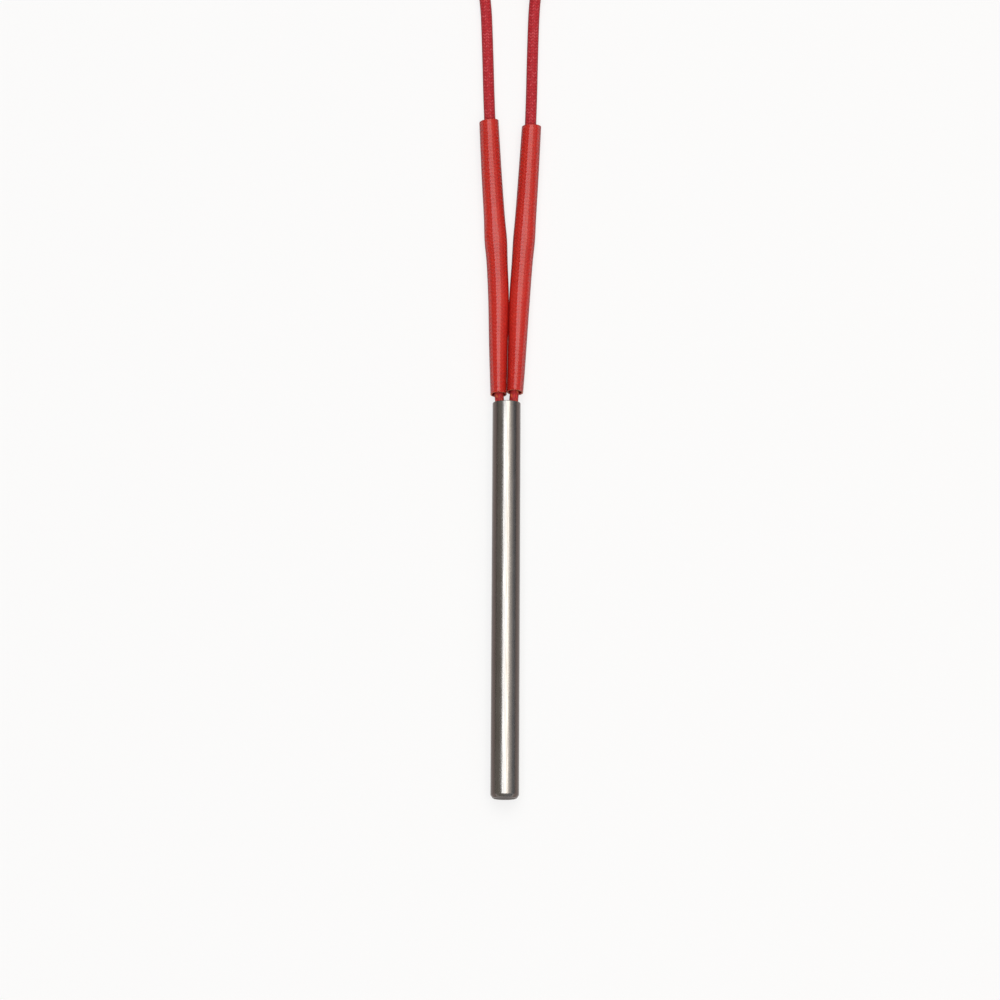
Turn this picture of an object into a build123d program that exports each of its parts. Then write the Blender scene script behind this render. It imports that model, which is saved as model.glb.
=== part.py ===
from build123d import *

import math
import os

# A cartridge heater of the kind that lights a pellet stove. It lies on a floor at z = 0, its tip towards
# -Y and its leads towards +Y. The origin is on the floor, under the middle of the sheath. Millimetres.

# Sheath and its closed tip
sheath_diameter = 9.9
sheath_length = 140.0
sheath_wall = 0.55
mouth_round = 0.3
mouth_break = 0.2
tip_chamfer = 1.35
tip_lip_width = 0.45
weld_groove = 0.15
disc_thickness = 2.5

# Core, winding and packed powder
tip_wafer_thickness = 1.5
core_diameter = 5.8
core_length = 106.0
pin_spacing = 3.4
pin_diameter = 1.2
pin_start = 5.0
ribbon_thickness = 0.4
ribbon_width = 1.6
coil_pitch = 5.0
coil_turns = 14
coil_start = 5.0
cap_thickness = 1.2

# Crimped joints between the pins and the leads
crimp_diameter = 2.5
crimp_length = 12.0
crimp_from_cap = 2.0
crimp_joint_gap = 1.0
dent_radius = 1.2
dent_depth = 0.3
dent_share = 0.25
cover_wall = 0.3
cover_from_cap = 0.5
cover_overhang = 1.8
conductor_diameter = 1.0

# Leads: a thin insulated core that leaves the sheath, and a braid that starts inside the sleeve
lead_diameter = 4.07
lead_core_diameter = 3.2
lead_depth = 9.0
braid_start_share = 0.2
seal_front = 3.0
seal_thickness = 3.5

# Sleeves over the leads
sleeve_diameter = 7.2
sleeve_wall = 0.5
sleeve_rest = 0.12
sleeves_apart = 0.24

# Hank of the leads' far ends, with its tie and the stripped ends
hank_from_mouth = 175.0
hank_middle_x = 0.6
hank_half_run = 23.0
hank_fold_radius = 12.2
hank_edge_slope = 1.2
hank_stub = 9.0
eye_tip_radius = 1.0
eye_tip_from_tie = 9.0
tie_width = 2.5
tie_thickness = 0.9
tie_corner = 2.0
tie_head_width = 4.4
tie_head_length = 4.6
tie_head_height = 2.6
tie_head_round = 0.5
tie_tail_height = 1.6
bare_diameter = 1.2
bare_length = 10.0
bare_slope = 0.25

# Clearances
seat_gap = 0.02
pin_gap = 0.05
fill_gap = 0.04

# Worked out from the sizes above
sheath_radius = sheath_diameter / 2
bore_radius = sheath_radius - sheath_wall
seat_radius = bore_radius - seat_gap
axis_height = sheath_radius
tip_y = -sheath_length / 2
mouth_y = sheath_length / 2
core_radius = core_diameter / 2
pin_radius = pin_diameter / 2
pin_hole_radius = pin_radius + pin_gap
pin_x = pin_spacing / 2
lead_radius = lead_diameter / 2
lead_core_radius = lead_core_diameter / 2
lead_x = sleeves_apart / 2 + sleeve_wall + pin_gap + lead_core_radius
conductor_radius = conductor_diameter / 2
crimp_radius = crimp_diameter / 2
sleeve_radius = sleeve_diameter / 2
in_sleeve = sleeve_wall + lead_radius + sleeve_rest

disc_back = tip_y + disc_thickness
wafer_back = disc_back + tip_wafer_thickness
core_back = wafer_back + core_length
cap_back = core_back + cap_thickness
crimp_front = cap_back + crimp_from_cap
crimp_back = crimp_front + crimp_length
crimp_middle = (crimp_front + crimp_back) / 2
lead_end_y = mouth_y - lead_depth
seal_back_y = mouth_y - seal_front

heater_axis = Axis((0, 0, axis_height), (0, 1, 0))
heater_plane = Plane.XY.offset(axis_height)

# Routes of the leads: x, distance past the mouth, z. They leave the mouth side by side, drop to the
# floor inside the sleeves, drift apart and end where the hank begins.
left_route = [
    (-lead_x, -lead_depth, axis_height),
    (-lead_x, -1.0, axis_height),
    (-2.90, 5.0, 4.80),
    (-3.00, 20.0, 3.90),
    (-3.15, 42.0, in_sleeve + 0.15),
    (-4.95, 73.0, in_sleeve),
    (-6.68, 107.0, in_sleeve + 0.12),
    (-7.40, 131.0, lead_radius),
    (-8.20, 151.0, lead_radius),
    (-10.80, 161.2, lead_radius),
]
right_route = [
    (lead_x, -lead_depth, axis_height),
    (lead_x, -1.0, axis_height),
    (2.90, 5.5, 4.80),
    (3.60, 20.0, 3.85),
    (4.60, 42.0, in_sleeve + 0.15),
    (6.80, 73.0, in_sleeve),
    (8.28, 106.0, in_sleeve + 0.12),
    (8.72, 131.0, lead_radius),
    (9.30, 149.0, 2.90),
    (10.55, 156.0, 5.20),
    (11.75, 160.9, 5.90),
]

# The leads' last stretches past the tie: x and y from the middle of the hank, z
left_tail = [(-1.9, 2.0, tie_thickness + lead_radius), (-3.3, 9.0, lead_radius), (-4.3, 15.0, lead_radius)]
right_tail = [(1.9, 2.0, tie_thickness + 3 * lead_radius), (3.2, 9.0, lead_radius), (3.9, 15.5, lead_radius)]

# Sleeve sections: distance past the mouth, x of the edge that faces the other sleeve, half width as a
# share of the round radius. The lower ends are squeezed against each other, and both sleeves are
# creased flat about half way up.
left_sections = [
    (3.3, -sleeves_apart / 2, 0.78),
    (9.5, -sleeves_apart / 2 + 0.08, 0.82),
    (22.0, 0.32 - sleeves_apart / 4, 0.92),
    (38.0, 0.62 - sleeves_apart / 4, 1.01),
    (52.0, 0.16, 1.05),
    (60.0, -0.09, 1.12),
    (68.0, -0.87, 1.05),
    (84.0, -2.08, 1.01),
    (103.8, -3.36, 0.96),
]
right_sections = [
    (4.1, sleeves_apart / 2, 0.79),
    (9.5, sleeves_apart / 2 + 0.08, 0.84),
    (22.0, 0.38 + sleeves_apart / 4, 0.92),
    (38.0, 0.74 + sleeves_apart / 4, 1.01),
    (52.0, 1.57, 1.04),
    (60.0, 1.98, 1.09),
    (68.0, 2.65, 1.05),
    (84.0, 3.78, 1.01),
    (101.9, 4.97, 0.96),
]
cut_slant = 4.0  # degrees, how far the far ends of the sleeves are cut out of square

arc_share = 0.45  # share of the shorter run that each arc of a lead takes up


def finish(piece, name):
    """Label a finished piece and write it to its own file."""
    piece.part.label = name
    export_step(piece.part, f"parts/{name}.step")


def across(y, x=0.0, z=axis_height):
    """Plane square to the heater's axis, facing away from the tip."""
    return Plane(origin=(x, y, z), x_dir=(1, 0, 0), z_dir=(0, 1, 0))


def past_mouth(route):
    """A route's points in the heater's frame."""
    return [Vector(x, mouth_y + along, z) for x, along, z in route]


def bend_radii(points):
    """Radius of the arc at each inner point, as large as its two runs leave room for."""
    radii = []
    for before, corner, after in zip(points, points[1:], points[2:]):
        arriving, leaving = corner - before, after - corner
        half_turn = math.radians(arriving.get_angle(leaving) / 2)
        shorter = min(arriving.length, leaving.length)
        radii.append(arc_share * shorter / math.tan(half_turn))
    return radii


def half_height(half_width):
    """Half height of a flattened sleeve, whose wall keeps its length round."""
    return math.sqrt(2 * sleeve_radius**2 - half_width**2)


def sleeve_middles(sections, sign):
    """Middle and half width of each section of the sleeve on one side."""
    middles = []
    for along, edge_x, share in sections:
        half_width = share * sleeve_radius
        middles.append((Vector(edge_x + sign * half_width, mouth_y + along, half_height(half_width)), half_width))
    return middles


def section_plane(middles, index):
    """Plane of one sleeve section, square to the way the sleeve runs there."""
    before, after = middles[max(index - 1, 0)][0], middles[min(index + 1, len(middles) - 1)][0]
    heading = math.atan2(after.X - before.X, after.Y - before.Y)
    if index == len(middles) - 1:
        heading -= math.radians(cut_slant)
    return Plane(
        origin=middles[index][0],
        x_dir=(math.cos(heading), -math.sin(heading), 0),
        z_dir=(math.sin(heading), math.cos(heading), 0),
    )


os.makedirs("parts", exist_ok=True)

# Sheath: a drawn tube, its tip turned in to a narrow lip and its mouth lightly rounded
cone_shift = sheath_wall * (math.sqrt(2) - 1)
cone_back = tip_y + tip_chamfer + cone_shift
lip_radius = sheath_radius - tip_chamfer - tip_lip_width
lip_back = cone_back - (bore_radius - lip_radius)

with BuildPart() as sheath:
    with BuildSketch(heater_plane):
        with BuildLine():
            Polyline(
                (sheath_radius, mouth_y),
                (sheath_radius, tip_y + tip_chamfer),
                (sheath_radius - tip_chamfer, tip_y),
                (lip_radius, tip_y),
                (lip_radius, lip_back),
                (bore_radius, cone_back),
                (bore_radius, mouth_y),
                close=True,
            )
        make_face()
    revolve(axis=heater_axis)
    mouth_edges = sheath.edges().filter_by(GeomType.CIRCLE).group_by(Axis.Y)[-1].sort_by(SortBy.RADIUS)
    fillet(mouth_edges[-1], radius=mouth_round)
    mouth_edges = sheath.edges().filter_by(GeomType.CIRCLE).group_by(Axis.Y)[-1].sort_by(SortBy.RADIUS)
    chamfer(mouth_edges[0], length=mouth_break)
finish(sheath, "sheath")

# End disc: fills the turned-in tip, with a fine groove where its edge is welded to the lip
disc_nose_radius = lip_radius - seat_gap
disc_cone_back = cone_back + seat_gap
disc_cone_front = disc_cone_back - (seat_radius - disc_nose_radius)

with BuildPart() as end_disc:
    with BuildSketch(heater_plane):
        with BuildLine():
            Polyline(
                (0, tip_y),
                (disc_nose_radius - weld_groove, tip_y),
                (disc_nose_radius, tip_y + weld_groove),
                (disc_nose_radius, disc_cone_front),
                (seat_radius, disc_cone_back),
                (seat_radius, disc_back),
                (0, disc_back),
                close=True,
            )
        make_face()
    revolve(axis=heater_axis)
finish(end_disc, "end_disc")

# Tip wafer: insulates the core from the end disc
with BuildPart() as tip_wafer:
    with BuildSketch(across(disc_back)):
        Circle(seat_radius)
    extrude(amount=tip_wafer_thickness)
finish(tip_wafer, "tip_wafer")

# Ceramic core: a rod with two holes for the pins
with BuildPart() as ceramic_core:
    with BuildSketch(across(wafer_back)):
        Circle(core_radius)
        with Locations((-pin_x, 0), (pin_x, 0)):
            Circle(pin_hole_radius, mode=Mode.SUBTRACT)
    extrude(amount=core_length)
finish(ceramic_core, "ceramic_core")

# Heating coil: resistance ribbon wound on the core, over the heated part near the tip
coil_radius = core_radius + seat_gap + ribbon_thickness / 2

with BuildPart() as heating_coil:
    with BuildLine() as turns:
        Helix(
            pitch=coil_pitch,
            height=coil_turns * coil_pitch,
            radius=coil_radius,
            center=(0, wafer_back + coil_start, axis_height),
            direction=(0, 1, 0),
        )
    ribbon_front = turns.line @ 0
    outward = ribbon_front - Vector(0, ribbon_front.Y, axis_height)
    with BuildSketch(Plane(origin=ribbon_front, x_dir=outward, z_dir=turns.line % 0)):
        Rectangle(ribbon_thickness, ribbon_width)
    sweep(is_frenet=True)
finish(heating_coil, "heating_coil")

# Magnesia fill: powder pressed solid between the coil and the sheath
with BuildPart() as magnesia_fill:
    with BuildSketch(across(wafer_back)):
        Circle(seat_radius)
        Circle(coil_radius + ribbon_thickness / 2 + fill_gap, mode=Mode.SUBTRACT)
    extrude(amount=core_length)
finish(magnesia_fill, "magnesia_fill")

# Core cap: closes the powder in, and the pins pass through it
with BuildPart() as core_cap:
    with BuildSketch(across(core_back)):
        Circle(seat_radius)
        with Locations((-pin_x, 0), (pin_x, 0)):
            Circle(pin_hole_radius, mode=Mode.SUBTRACT)
    extrude(amount=cap_thickness)
finish(core_cap, "core_cap")

# Mouth seal: potting that holds both leads in the sheath
with BuildPart() as mouth_seal:
    with BuildSketch(across(seal_back_y - seal_thickness)):
        Circle(seat_radius)
        with Locations((-lead_x, 0), (lead_x, 0)):
            Circle(lead_core_radius + seat_gap, mode=Mode.SUBTRACT)
    extrude(amount=seal_thickness)
finish(mouth_seal, "mouth_seal")

# One pin, crimp, crimp cover, conductor and bare end for each lead
pin_back = crimp_middle - crimp_joint_gap / 2
conductor_front = crimp_middle + crimp_joint_gap / 2
crimp_bore_radius = pin_radius + seat_gap

for side, sign in (("left", -1), ("right", 1)):
    with BuildPart() as pin:
        with BuildSketch(across(wafer_back + pin_start, x=sign * pin_x)):
            Circle(pin_radius)
        extrude(amount=pin_back - wafer_back - pin_start)
    finish(pin, f"pin_{side}")

    with BuildPart() as crimp:
        with BuildSketch(across(crimp_front, x=sign * pin_x)):
            Circle(crimp_radius)
            Circle(crimp_bore_radius, mode=Mode.SUBTRACT)
        extrude(amount=crimp_length)
        dent_height = axis_height + crimp_radius - dent_depth + dent_radius
        dent_offset = (0.5 - dent_share) * crimp_length
        with Locations(
            (sign * pin_x, crimp_middle - dent_offset, dent_height),
            (sign * pin_x, crimp_middle + dent_offset, dent_height),
        ):
            Cylinder(dent_radius, crimp_diameter, rotation=(0, 90, 0), mode=Mode.SUBTRACT)
    finish(crimp, f"crimp_{side}")

    with BuildPart() as crimp_cover:
        with BuildSketch(across(cap_back + cover_from_cap, x=sign * pin_x)):
            Circle(crimp_radius + seat_gap + cover_wall)
            Circle(crimp_radius + seat_gap, mode=Mode.SUBTRACT)
        extrude(amount=crimp_back + cover_overhang - cap_back - cover_from_cap)
    finish(crimp_cover, f"crimp_cover_{side}")

    with BuildPart() as conductor:
        with BuildLine():
            Polyline(
                (sign * pin_x, conductor_front, axis_height),
                (sign * pin_x, crimp_back + conductor_diameter, axis_height),
                (sign * lead_x, lead_end_y - conductor_diameter, axis_height),
                (sign * lead_x, lead_end_y, axis_height),
            )
        with BuildSketch(across(conductor_front, x=sign * pin_x)):
            Circle(conductor_radius)
        sweep(transition=Transition.RIGHT)
    finish(conductor, f"conductor_{side}")

# Leads: each core comes out of the mouth and the braid starts further along the same run
braid_starts = {}
for side, route in (("left", left_route), ("right", right_route)):
    points = past_mouth(route)
    braid_start = points[2] + (points[3] - points[2]) * braid_start_share

    core_points = points[:3] + [braid_start]
    with BuildPart() as lead_core:
        with BuildLine():
            FilletPolyline(*core_points, radius=bend_radii(core_points))
        with BuildSketch(across(points[0].Y, x=points[0].X)):
            Circle(lead_core_radius)
        sweep()
    finish(lead_core, f"lead_core_{side}")

    lead_points = [braid_start] + points[3:]
    radii = bend_radii(lead_points)
    with BuildPart() as lead:
        with BuildLine() as path:
            FilletPolyline(*lead_points, radius=radii)
        with BuildSketch(Plane(origin=braid_start, z_dir=points[3] - braid_start)):
            Circle(lead_radius)
        sweep()
    finish(lead, f"lead_{side}")
    length = sum(edge.length for edge in path.edges())
    volume_share = lead.part.volume / (math.pi * lead_radius**2 * length)
    print(side, "lead radii", [round(radius) for radius in radii])
    print(side, "lead length", round(length, 1), "volume share", round(volume_share, 4))

# Sleeves: lofted from the squeezed ovals at the heater to the slanting cuts at the far ends
for side, sign, sections in (("left", -1, left_sections), ("right", 1, right_sections)):
    middles = sleeve_middles(sections, sign)
    with BuildPart() as sleeve:
        for index, (middle, half_width) in enumerate(middles):
            with BuildSketch(section_plane(middles, index)):
                Ellipse(half_width, middle.Z)
        loft(ruled=True)
        for index, (middle, half_width) in enumerate(middles):
            with BuildSketch(section_plane(middles, index)):
                Ellipse(half_width - sleeve_wall, middle.Z - sleeve_wall)
        loft(ruled=True, mode=Mode.SUBTRACT)
    finish(sleeve, f"sleeve_{side}")

# Hank: the outer shape of both leads' folded turns, pulled together in the middle by the tie
hank_middle_y = mouth_y + hank_from_mouth + hank_half_run
bundle_width = 3 * lead_diameter
bundle_height = 2 * lead_diameter
bundle_base = tie_thickness + seat_gap
bundle_middle = bundle_base + bundle_height / 2
end_radius = hank_fold_radius + lead_diameter
waist_step = end_radius - bundle_width / 2
waist_radius = (waist_step**2 + hank_half_run**2) / (4 * waist_step)
waist_turn = math.degrees(math.asin(hank_half_run / (2 * waist_radius)))
hank_plane = Plane(origin=(hank_middle_x, hank_middle_y, 0))
tie_plane = Plane(origin=(hank_middle_x, hank_middle_y, bundle_middle), x_dir=(1, 0, 0), z_dir=(0, 1, 0))
tails = {}
for side, tail in (("left", left_tail), ("right", right_tail)):
    tails[side] = [hank_plane.from_local_coords(Vector(*point)) for point in tail]

with BuildPart() as lead_hank:
    with BuildSketch(hank_plane):
        with BuildLine():
            waist = JernArc((bundle_width / 2, 0), (0, 1), waist_radius, -waist_turn)
            JernArc(waist @ 1, waist % 1, waist_radius, waist_turn)
            CenterArc((0, hank_half_run), end_radius, 0, 90)
            Line((0, hank_half_run + end_radius), (0, 0))
            Line((0, 0), (bundle_width / 2, 0))
        make_face()
        mirror(about=Plane.YZ)
        mirror(about=Plane.XZ)
        for way, eye_radius in ((1, hank_fold_radius), (-1, hank_fold_radius - lead_diameter)):
            with BuildSketch(Plane.XY, mode=Mode.PRIVATE) as eye:
                with Locations((0, way * hank_half_run)):
                    Circle(eye_radius)
                with Locations((0, way * eye_tip_from_tie)):
                    Circle(eye_tip_radius)
                make_hull()
            add(eye.sketch, mode=Mode.SUBTRACT)
    extrude(amount=bundle_base + bundle_height)
    flat_faces = lead_hank.faces().filter_by(Axis.Z)
    chamfer(flat_faces.edges(), length=hank_edge_slope)
    with BuildSketch(tie_plane):
        Rectangle(bundle_width + lead_diameter, 2 * (bundle_base + bundle_height))
        RectangleRounded(bundle_width, bundle_height, tie_corner, mode=Mode.SUBTRACT)
    extrude(amount=tie_width / 2 + seat_gap, both=True, mode=Mode.SUBTRACT)
    for route in (left_route, right_route):
        before, end = past_mouth(route)[-2:]
        with BuildSketch(Plane(origin=end, z_dir=end - before)):
            Circle(lead_radius)
        extrude(amount=hank_stub)
    for tail in tails.values():
        with BuildLine():
            FilletPolyline(*tail, radius=bend_radii(tail))
        with BuildSketch(Plane(origin=tail[0], z_dir=tail[1] - tail[0])):
            Circle(lead_radius)
        sweep()
finish(lead_hank, "lead_hank")

# Tie: a plain strap round the bundle, its head on top with the cut end standing out of it
with BuildPart() as hank_tie:
    with BuildSketch(tie_plane):
        RectangleRounded(
            bundle_width + 2 * (seat_gap + tie_thickness),
            bundle_height + 2 * (seat_gap + tie_thickness),
            tie_corner + seat_gap + tie_thickness,
        )
        RectangleRounded(
            bundle_width + 2 * seat_gap,
            bundle_height + 2 * seat_gap,
            tie_corner + seat_gap,
            mode=Mode.SUBTRACT,
        )
    extrude(amount=tie_width / 2, both=True)
    head_plane = tie_plane.origin + Vector(0, 0, bundle_height / 2 + seat_gap)
    with BuildSketch(Plane(origin=head_plane)):
        Rectangle(tie_head_length, tie_head_width)
    extrude(amount=tie_head_height)
    fillet(hank_tie.edges().group_by(Axis.Z)[-1], radius=tie_head_round)
    with BuildSketch(Plane(origin=head_plane + Vector(0, 0, tie_head_height))):
        Rectangle(tie_thickness, tie_width)
    extrude(amount=tie_tail_height)
finish(hank_tie, "hank_tie")

# Bare ends: the stripped and tinned ends of the conductors
for side, tail in tails.items():
    with BuildPart() as bare_end:
        with BuildSketch(Plane(origin=tail[-1], z_dir=tail[-1] - tail[-2])):
            Circle(bare_diameter / 2)
        extrude(amount=bare_length)
        chamfer(bare_end.edges().sort_by(Axis.Y)[-1], length=bare_slope)
    finish(bare_end, f"bare_end_{side}")
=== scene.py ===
"""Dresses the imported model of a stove's cartridge igniter: sheath, sleeves, and leads with their hank."""

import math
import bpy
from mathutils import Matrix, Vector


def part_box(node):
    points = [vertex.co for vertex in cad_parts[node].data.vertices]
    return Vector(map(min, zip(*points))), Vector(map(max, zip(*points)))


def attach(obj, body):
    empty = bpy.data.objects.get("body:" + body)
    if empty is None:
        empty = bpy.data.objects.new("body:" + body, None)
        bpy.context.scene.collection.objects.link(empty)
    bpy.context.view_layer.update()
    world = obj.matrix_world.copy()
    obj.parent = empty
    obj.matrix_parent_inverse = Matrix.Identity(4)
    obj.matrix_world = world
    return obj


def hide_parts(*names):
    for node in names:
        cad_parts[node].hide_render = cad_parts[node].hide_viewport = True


bl_info = {
    "name": "Cartridge Igniter",
    "version": (1, 0, 0),
    "blender": (4, 5, 0),
    "location": "View3D > Sidebar > Igniter",
    "description": "Models the looks of a cartridge igniter with two sleeved leads round its packed frame",
    "category": "Object",
}

import bmesh
import bpy
from bpy.props import FloatProperty, FloatVectorProperty, IntProperty, PointerProperty
from mathutils import Matrix, Vector

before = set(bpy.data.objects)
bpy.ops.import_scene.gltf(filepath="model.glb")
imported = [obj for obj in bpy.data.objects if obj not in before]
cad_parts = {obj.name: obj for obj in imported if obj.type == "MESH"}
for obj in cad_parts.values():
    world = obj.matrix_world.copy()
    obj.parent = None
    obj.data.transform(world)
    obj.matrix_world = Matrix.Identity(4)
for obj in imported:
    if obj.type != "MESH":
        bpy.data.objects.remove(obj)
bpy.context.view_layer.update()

MM = 0.001
SHEATH_LOW, SHEATH_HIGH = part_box("sheath")
AXIS_HEIGHT = (SHEATH_LOW.z + SHEATH_HIGH.z) / 2
SHEATH_RADIUS = (SHEATH_HIGH.z - SHEATH_LOW.z) / 2
TIP_Y = SHEATH_LOW.y
MOUTH_Y = SHEATH_HIGH.y
RING_PITCH = 0.65 * MM


# Sizes and colours that a user would change


class CameraSizes(bpy.types.PropertyGroup):
    """Where the photograph was taken from"""

    target: FloatVectorProperty(
        name="Target", description="Point on the floor at the middle of the picture",
        default=(-0.002149, 0.036191, 0.0), subtype="TRANSLATION", unit="LENGTH",
    )
    distance: FloatProperty(
        name="Distance", description="From the target to the camera", default=1.37725, unit="LENGTH",
    )
    elevation: FloatProperty(
        name="Elevation", description="Height of the camera above the horizon",
        default=math.radians(77.803), subtype="ANGLE",
    )
    roll: FloatProperty(
        name="Roll", description="Turn of the camera about its own axis",
        default=math.radians(0.297), subtype="ANGLE",
    )
    lens: FloatProperty(
        name="Lens", description="Focal length on a 36 mm sensor, in millimetres", default=141.12,
    )


class LightSizes(bpy.types.PropertyGroup):
    """Studio lamps, surroundings and floor"""

    floor_colour: FloatVectorProperty(
        name="Floor", description="Colour of the floor", default=(0.9, 0.9, 0.9), subtype="COLOR",
    )
    floor_white: FloatProperty(
        name="Floor white", description="Share of plain white in how the floor looks to the camera",
        default=0.74, min=0.0, max=1.0, subtype="FACTOR",
    )
    lamp_reach: FloatProperty(
        name="Reach", description="From the heater to each lamp", default=1.9, unit="LENGTH",
    )
    lamp_length: FloatProperty(
        name="Lamp length", description="Of each lamp, along the heater", default=3.6, unit="LENGTH",
    )
    key_radiance: FloatProperty(
        name="Key", description="Brightness of the pair of long lamps overhead", default=2.35,
    )
    fill_radiance: FloatProperty(
        name="Fill", description="Brightness of the warm lamps to the right of them", default=0.62,
    )
    room_left: FloatVectorProperty(
        name="Room, left", description="Colour of the surroundings on the left",
        default=(0.19, 0.17, 0.15), subtype="COLOR",
    )
    room_right: FloatVectorProperty(
        name="Room, right", description="Colour of the surroundings on the right",
        default=(0.17, 0.175, 0.19), subtype="COLOR",
    )


class SheathSizes(bpy.types.PropertyGroup):
    """Steel sheath and its welded tip"""

    wall: FloatProperty(
        name="Wall", description="Thickness of the tube", default=0.55 * MM, unit="LENGTH",
    )
    tip_turn_length: FloatProperty(
        name="Tip turn length", description="Length of the turned-in tip", default=1.15 * MM, unit="LENGTH",
    )
    tip_turn_depth: FloatProperty(
        name="Tip turn depth", description="How far the tip is turned in", default=0.75 * MM, unit="LENGTH",
    )
    tip_back_round: FloatProperty(
        name="Tip back round", description="Rounding where the tip begins to turn in", default=0.12 * MM,
        unit="LENGTH",
    )
    tip_front_round: FloatProperty(
        name="Tip front round", description="Rounding of the tip's foremost edge", default=0.10 * MM,
        unit="LENGTH",
    )
    lip: FloatProperty(
        name="Lip", description="Width of the tip's flat lip", default=0.45 * MM, unit="LENGTH",
    )
    mouth_round: FloatProperty(
        name="Mouth round", description="Rounding of the mouth's outer edge", default=0.3 * MM, unit="LENGTH",
    )
    mouth_break: FloatProperty(
        name="Mouth break", description="Chamfer of the mouth's inner edge", default=0.2 * MM, unit="LENGTH",
    )
    weld_groove: FloatProperty(
        name="Weld groove", description="Width of the fine groove round the end disc", default=0.15 * MM,
        unit="LENGTH",
    )
    disc_gap: FloatProperty(
        name="Disc gap", description="Between the end disc and the tube round it", default=0.02 * MM,
        unit="LENGTH",
    )
    segments: IntProperty(name="Segments", description="Facets round the tube", default=128)
    steel: FloatVectorProperty(
        name="Steel", description="Colour of the ground steel", default=(0.52, 0.50, 0.475), subtype="COLOR",
    )
    # painted shade: the end disc's steel is darker than the tube's, standing in for the darker reflection on
    # its face
    disc_steel: FloatVectorProperty(
        name="Disc steel", description="Colour of the end disc, dulled by the weld's heat",
        default=(0.30, 0.285, 0.28), subtype="COLOR",
    )
    disc_edge: FloatVectorProperty(
        name="Disc edge", description="Tint of the end disc seen at a shallow angle",
        default=(0.55, 0.53, 0.52), subtype="COLOR",
    )


class LeadSizes(bpy.types.PropertyGroup):
    """Braided leads and the hank of their far ends"""

    diameter: FloatProperty(
        name="Diameter", description="Over the braid", default=4.07 * MM, unit="LENGTH",
    )
    core_diameter: FloatProperty(
        name="Core diameter", description="Over the thin insulated core", default=3.2 * MM, unit="LENGTH",
    )
    length: FloatProperty(
        name="Length", description="From the start of the braid to where it is stripped", default=382 * MM,
        unit="LENGTH",
    )
    bare_diameter: FloatProperty(
        name="Bare diameter", description="Of the stripped strands", default=1.2 * MM, unit="LENGTH",
    )
    fold_radius: FloatProperty(
        name="Fold radius", description="Of the hank's tighter folds", default=12.2 * MM, unit="LENGTH",
    )
    hank_half_run: FloatProperty(
        name="Half run", description="From the tie to the middle of a fold", default=23 * MM, unit="LENGTH",
    )
    crimson: FloatVectorProperty(
        name="Crimson", description="Colour of the braid", default=(0.53, 0.024, 0.034), subtype="COLOR",
    )
    # paler yarns, partly painted glints on the raised yarn tops
    fleck: FloatVectorProperty(
        name="Fleck", description="Colour of the paler yarns", default=(0.64, 0.085, 0.10), subtype="COLOR",
    )
    silicone: FloatVectorProperty(
        name="Silicone", description="Colour of the thin cores", default=(0.56, 0.035, 0.035),
        subtype="COLOR",
    )
    silicone_fleck: FloatVectorProperty(
        name="Silicone fleck", description="Colour of the cores' paler ribs", default=(0.66, 0.13, 0.05),
        subtype="COLOR",
    )


class SleeveSizes(bpy.types.PropertyGroup):
    """Coated sleeves over the leads"""

    diameter: FloatProperty(
        name="Diameter", description="Outside, where it is round", default=7.2 * MM, unit="LENGTH",
    )
    wall: FloatProperty(
        name="Wall", description="Thickness of the coated braid", default=0.5 * MM, unit="LENGTH",
    )
    cut_slant: FloatProperty(
        name="Slant", description="How far the far ends are cut out of square", default=math.radians(4.0),
        subtype="ANGLE",
    )
    columns: IntProperty(
        name="Columns", description="Columns of the braid, counted round the sleeve", default=16,
    )
    pitch: FloatProperty(
        name="Pitch", description="From one chevron of the braid to the next", default=1.38 * MM,
        unit="LENGTH",
    )
    scarlet: FloatVectorProperty(
        name="Scarlet", description="Colour of the coating", default=(0.60, 0.020, 0.012), subtype="COLOR",
    )
    orange: FloatVectorProperty(
        name="Orange", description="Colour of the coating's thinner patches", default=(0.66, 0.028, 0.009),
        subtype="COLOR",
    )
    # painted shade: the coating's colour where its surface turns away from the viewer
    shade: FloatVectorProperty(
        name="Shade", description="Colour of the coating where it turns away", default=(0.36, 0.014, 0.012),
        subtype="COLOR",
    )
    fibre: FloatVectorProperty(
        name="Fibre", description="Colour of the fibre in the cut edges", default=(0.86, 0.36, 0.22),
        subtype="COLOR",
    )


GROUPS = {
    "igniter_camera": CameraSizes,
    "igniter_lights": LightSizes,
    "igniter_sheath": SheathSizes,
    "igniter_leads": LeadSizes,
    "igniter_sleeves": SleeveSizes,
}


# Node helpers


def feed(tree, socket, value):
    """Link a socket to another node's output, or set its value."""
    if isinstance(value, bpy.types.NodeSocket):
        tree.links.new(value, socket)
    else:
        socket.default_value = value


def compute(tree, operation, *values):
    """Output of a Math node that works on numbers or other outputs."""
    node = tree.nodes.new("ShaderNodeMath")
    node.operation = operation
    for socket, value in zip(node.inputs, values):
        feed(tree, socket, value)
    return node.outputs[0]


def ramp(tree, value, low, high, to_low=0.0, to_high=1.0):
    """Output of a Map Range node, smooth and clamped."""
    node = tree.nodes.new("ShaderNodeMapRange")
    node.interpolation_type = "SMOOTHSTEP"
    for name, given in (
        ("Value", value), ("From Min", low), ("From Max", high), ("To Min", to_low), ("To Max", to_high),
    ):
        feed(tree, node.inputs[name], given)
    return node.outputs[0]


def blend_colours(tree, factor, first, second):
    """Output of a colour Mix node."""
    node = tree.nodes.new("ShaderNodeMix")
    node.data_type = "RGBA"
    feed(tree, node.inputs[0], factor)
    for socket, colour in ((node.inputs[6], first), (node.inputs[7], second)):
        feed(tree, socket, colour if isinstance(colour, bpy.types.NodeSocket) else (*colour, 1.0))
    return node.outputs[2]


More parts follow.
